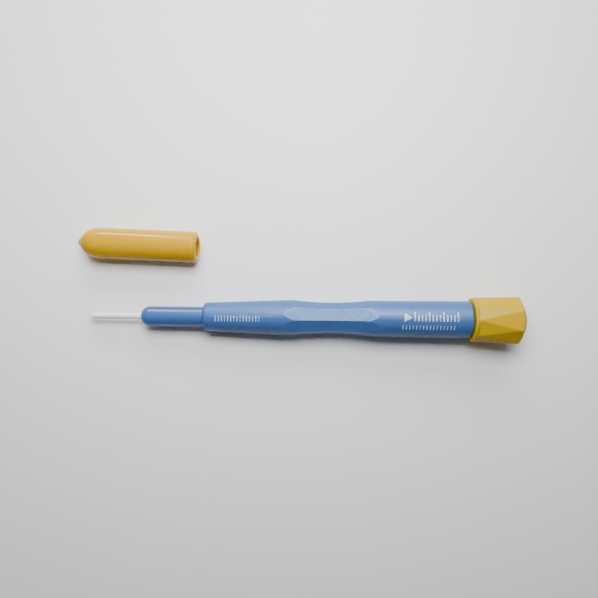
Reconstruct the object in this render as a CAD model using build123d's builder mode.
"""Ceramic-blade alignment screwdriver with a swivel cap, and the vinyl cap for its blade.

The tool lies on the bench on the peak of its barrel and on its swivel cap, so its axis tilts
up a little towards the rear. The vinyl cap lies beside the nose. +X runs along the tool from
the blade to the swivel cap, +Z is up, and the origin is under the middle of the whole set.
Lengths are in millimetres. A "station" is a distance along the tool's axis from the blade tip.
"""

import os
from math import atan, cos, radians, sin

from build123d import *

# Blade: a ground ceramic rod
blade_exposed = 15.0  # the length marked on the tool
blade_diameter = 1.8
blade_embedded = 14.0
tip_width = 0.9  # the width marked on the tool
tip_thickness = 0.4
tip_length = 0.9  # ground stretch behind the tip
tip_run_out = 0.6  # where the grinding wheel leaves the rod

# Handle: one moulding
nose_diameter = 5.5
nose_length = 17.2
nose_face_diameter = 2.4
nose_round = 2.3  # length of the rounded end
shoulder_height = 1.15  # from the nose up to the barrel
shoulder_round = 1.0
barrel_length = 22.2  # shoulder to the peak
peak_diameter = 9.6
heel_diameter = 9.75  # just behind the grip
rear_diameter = 10.05
rear_length = 25.1  # heel to the rear face
rear_edge_round = 0.35

# Grip: flats scooped out of the barrel between the peak and the heel
scoop_count = 8
scoop_length = 25.0
waist_flats = 7.85  # across flats at the middle
crease_turn = -7.0  # the uppermost crease's turn from the top, in degrees, towards -Y

# Swivel cap: a round rim, then facets to an eight-sided rear, and a bevelled end
swivel_length = 13.6
rim_height = 0.9  # how far the rim stands proud of the handle
rim_length = 0.7
rim_edge_round = 0.25
facet_count = 8
facet_front_height = 0.08  # the front corners over the rim
facet_rear_height = 0.35  # the rear flats over the rim
bevel_length = 1.6
bevel_height = 2.15  # from the rear flats in to the end face

# Pivot pin: pressed in the handle, it carries the swivel cap
pin_diameter = 3.0
pin_embedded = 12.0
journal_diameter = 4.4
journal_length = 6.6
collar_height = 1.0  # over the journal
collar_thickness = 0.3
head_height = 0.4  # over the journal
head_length = 2.4
head_land = 0.6
head_taper = 0.9  # what the snap head's lead-in takes off its radius
slot_width = 0.9
slot_depth = 5.0
running_clearance = 0.05  # on the radius, cap on journal
end_play = 0.1  # cap between the collar and the head
head_clearance = 0.3  # around and behind the snap head

# Blade cap: dip-moulded vinyl
cap_wall = 1.6
cap_squeeze = 0.1  # how much smaller the bore's radius is than the nose's
cap_grip = 13.2  # how far the pushed-on cap reaches along the nose
cap_tip_room = 1.0  # left ahead of the covered blade
cap_end_wall = 3.7  # from the bore's end to the nib
dome_length = 5.3
dome_edge_radius = 1.2  # where the dome meets the nib
nib_length = 0.8
nib_radius = 0.85
lip_round = 1.2
mouth_round = 0.35

# How the set lies on the bench
cap_side_gap = 19.6  # blade cap's axis to the tool's axis
cap_yaw = -2.0  # the blade cap's turn from the tool, in degrees
cap_lead = 2.65  # how far the nib lies ahead of the blade tip

# Radii and diameters that follow
front_diameter = nose_diameter + 2 * shoulder_height
rim_diameter = rear_diameter + 2 * rim_height
facet_front_diameter = rim_diameter + 2 * facet_front_height
facet_rear_flats = rim_diameter + 2 * facet_rear_height
facet_rear_radius = facet_rear_flats / 2 / cos(radians(180 / facet_count))
end_diameter = facet_rear_flats - 2 * bevel_height
collar_diameter = journal_diameter + 2 * collar_height
head_diameter = journal_diameter + 2 * head_height
bore_radius = nose_diameter / 2 - cap_squeeze
cap_radius = bore_radius + cap_wall
cap_length = cap_grip + blade_exposed + cap_tip_room + cap_end_wall

# Stations along the tool
nose_station = blade_exposed
shoulder_station = nose_station + nose_length
peak_station = shoulder_station + barrel_length
heel_station = peak_station + scoop_length
rear_station = heel_station + rear_length
swivel_station = rear_station + collar_thickness + end_play / 2
facet_station = swivel_station + rim_length
end_station = swivel_station + swivel_length
corner_station = end_station - bevel_length  # the facets' rear corners

# The tool rests on its peak and on whichever of the swivel cap's ends is lower
front_slope = (facet_front_diameter - peak_diameter) / 2 / (facet_station - peak_station)
rear_slope = (facet_rear_flats - peak_diameter) / 2 / (corner_station - peak_station)
tilt = atan(max(front_slope, rear_slope))
tip_height = peak_diameter / 2 * cos(tilt) - peak_station * sin(tilt)

# The frame's origin is under the middle of the whole set's box
set_front = -cap_lead
set_rear = end_station * cos(tilt)
set_side = facet_rear_flats / 2
yaw = radians(cap_yaw)
cap_far_side = cap_side_gap + cap_radius + (cap_length / 2 - dome_length) * sin(abs(yaw))
tip_x = -(set_front + set_rear) / 2
tool_y = -(cap_far_side - set_side) / 2

axis_direction = Vector(cos(tilt), 0, sin(tilt))
upward = Vector(-sin(tilt), 0, cos(tilt))
tip_point = Vector(tip_x, tool_y, tip_height)
tool_axis = Axis(tip_point, axis_direction)


def meridian(angle=0.0):
    """Plane through the tool's axis: x is the station, y the radius at this turn from the top."""
    outward = upward * cos(radians(angle)) + Vector(0, 1, 0) * sin(radians(angle))
    return Plane(tip_point, x_dir=axis_direction, z_dir=axis_direction.cross(outward))


def cross_section(station):
    """Plane square to the tool's axis, facing the rear."""
    return Plane(tip_point + axis_direction * station, x_dir=Vector(0, 1, 0), z_dir=axis_direction)


# Handle
with BuildPart() as handle:
    with BuildSketch(meridian()) as handle_half:
        with BuildLine():
            nose_end = (nose_station, nose_face_diameter / 2)
            nose_side = (nose_station + nose_round, nose_diameter / 2)
            Line((nose_station, 0), nose_end)
            TangentArc(nose_side, nose_end, tangent=(-1, 0))
            Polyline(
                nose_side,
                (shoulder_station, nose_diameter / 2),
                (shoulder_station, front_diameter / 2),
                (peak_station, peak_diameter / 2),
                (heel_station, heel_diameter / 2),
                (rear_station, rear_diameter / 2),
                (rear_station, 0),
                (nose_station, 0),
            )
        make_face()
        for corner, edge_round in (
            ((shoulder_station, front_diameter / 2), shoulder_round),
            ((rear_station, rear_diameter / 2), rear_edge_round),
        ):
            fillet(handle_half.vertices().sort_by_distance(corner)[0], edge_round)
    revolve(axis=tool_axis)

    # The scoops are wide cylinders lying across the barrel, which start at its peak
    scoop_depth = (peak_diameter - waist_flats) / 2
    scoop_radius = ((scoop_length / 2) ** 2 + scoop_depth**2) / (2 * scoop_depth)
    for number in range(scoop_count):
        with BuildSketch(meridian(crease_turn + (number + 0.5) * 360 / scoop_count)):
            with Locations((peak_station + scoop_length / 2, waist_flats / 2 + scoop_radius)):
                Circle(scoop_radius)
        extrude(amount=peak_diameter / 2, both=True, mode=Mode.SUBTRACT)

    with BuildSketch(cross_section(nose_station)):
        Circle(blade_diameter / 2)
    extrude(amount=blade_embedded, mode=Mode.SUBTRACT)
    with BuildSketch(cross_section(rear_station)):
        Circle(pin_diameter / 2)
    extrude(amount=-pin_embedded, mode=Mode.SUBTRACT)
handle.part.label = "handle"

# Blade: a rod ground flat on four sides at the tip
with BuildPart() as ceramic_blade:
    with BuildSketch(cross_section(0)):
        Circle(blade_diameter / 2)
    extrude(amount=blade_exposed + blade_embedded)
    for angle, tip_size in ((0, tip_thickness), (90, tip_width)):
        for side in (0, 180):
            with BuildSketch(meridian(angle + side)):
                with BuildLine():
                    Polyline(
                        (0, tip_size / 2),
                        (tip_length, tip_size / 2),
                        (tip_length + tip_run_out, blade_diameter / 2),
                        (0, blade_diameter / 2),
                        close=True,
                    )
                make_face()
            extrude(amount=blade_diameter, both=True, mode=Mode.SUBTRACT)
ceramic_blade.part.label = "ceramic_blade"

# Pivot pin: pressed shank, thrust collar, journal and split snap head
collar_station = rear_station + collar_thickness
head_station = collar_station + journal_length + end_play
with BuildPart() as pivot_pin:
    with BuildSketch(meridian()):
        with BuildLine():
            Polyline(
                (rear_station - pin_embedded, 0),
                (rear_station - pin_embedded, pin_diameter / 2),
                (rear_station, pin_diameter / 2),
                (rear_station, collar_diameter / 2),
                (collar_station, collar_diameter / 2),
                (collar_station, journal_diameter / 2),
                (head_station, journal_diameter / 2),
                (head_station, head_diameter / 2),
                (head_station + head_land, head_diameter / 2),
                (head_station + head_length, head_diameter / 2 - head_taper),
                (head_station + head_length, 0),
                close=True,
            )
        make_face()
    revolve(axis=tool_axis)
    with BuildSketch(cross_section(head_station + head_length)):
        Rectangle(slot_width, head_diameter)
    extrude(amount=-slot_depth, mode=Mode.SUBTRACT)
pivot_pin.part.label = "pivot_pin"

# Swivel cap: a facetted body behind a round rim, with a stepped socket for the pin
half_step = 180 / facet_count
facet_front_radius = facet_front_diameter / 2
blank_radius = facet_rear_radius + bevel_length
with BuildPart() as swivel_cap:
    with BuildSketch(meridian()):
        with BuildLine():
            Polyline(
                (facet_station, 0),
                (facet_station, facet_rear_radius),
                (corner_station, facet_rear_radius),
                (end_station, end_diameter / 2),
                (end_station, 0),
                close=True,
            )
        make_face()
    revolve(axis=tool_axis)
    # Facets with their base at the rear and their point on the rim, then the ones between
    flat = cos(radians(half_step))
    for turn, front, rear in (
        (0, facet_front_radius, facet_rear_radius * flat),
        (half_step, facet_front_radius * flat, facet_rear_radius),
    ):
        for number in range(facet_count):
            with BuildSketch(meridian(turn + 2 * half_step * number)):
                with BuildLine():
                    slope = (rear - front) / (corner_station - facet_station)
                    Polyline(
                        (facet_station, front),
                        (end_station, front + slope * (end_station - facet_station)),
                        (end_station, blank_radius),
                        (facet_station, blank_radius),
                        close=True,
                    )
                make_face()
            extrude(amount=blank_radius, both=True, mode=Mode.SUBTRACT)

    with BuildSketch(cross_section(swivel_station)):
        Circle(rim_diameter / 2)
    extrude(amount=rim_length)
    front_edges = swivel_cap.edges().filter_by(GeomType.CIRCLE)
    fillet(front_edges.sort_by(tool_axis)[0], rim_edge_round)

    socket_depth = head_station - end_play / 2 - swivel_station
    with BuildSketch(cross_section(swivel_station)):
        Circle(journal_diameter / 2 + running_clearance)
    extrude(amount=socket_depth, mode=Mode.SUBTRACT)
    with BuildSketch(cross_section(swivel_station + socket_depth)):
        Circle(head_diameter / 2 + head_clearance)
    extrude(amount=head_length + head_clearance + end_play, mode=Mode.SUBTRACT)
swivel_cap.part.label = "swivel_cap"

# Blade cap: lies level on the bench, turned a little from the tool
cap_direction = Vector(cos(yaw), sin(yaw), 0)
cap_middle_x = tip_x - cap_lead + cap_length / 2
cap_middle = Vector(cap_middle_x, tool_y + cap_side_gap, cap_radius)
nib_point = cap_middle - cap_direction * (cap_length / 2)
cap_axis = Axis(nib_point, cap_direction)
with BuildPart() as blade_cap:
    with BuildSketch(Plane(nib_point, x_dir=cap_direction, z_dir=(0, 0, 1))) as half:
        with BuildLine():
            nib_top = (nib_length / 2, nib_radius)
            dome_start = (nib_length, dome_edge_radius)
            dome_end = (nib_length + dome_length, cap_radius)
            TangentArc((0, 0), nib_top, tangent=(0, 1))
            Line(nib_top, dome_start)
            TangentArc(dome_end, dome_start, tangent=(-1, 0))
            bore_start = (cap_end_wall + bore_radius, bore_radius)
            Polyline(dome_end, (cap_length, cap_radius), (cap_length, bore_radius), bore_start)
            RadiusArc(bore_start, (cap_end_wall, 0), -bore_radius)
            Line((cap_end_wall, 0), (0, 0))
        make_face()
        fillet(half.vertices().sort_by_distance((cap_length, cap_radius))[0], lip_round)
        fillet(half.vertices().sort_by_distance((cap_length, bore_radius))[0], mouth_round)
    revolve(axis=cap_axis)
blade_cap.part.label = "blade_cap"

os.makedirs("parts", exist_ok=True)
for piece in (handle, ceramic_blade, pivot_pin, swivel_cap, blade_cap):
    export_step(piece.part, f"parts/{piece.part.label}.step")
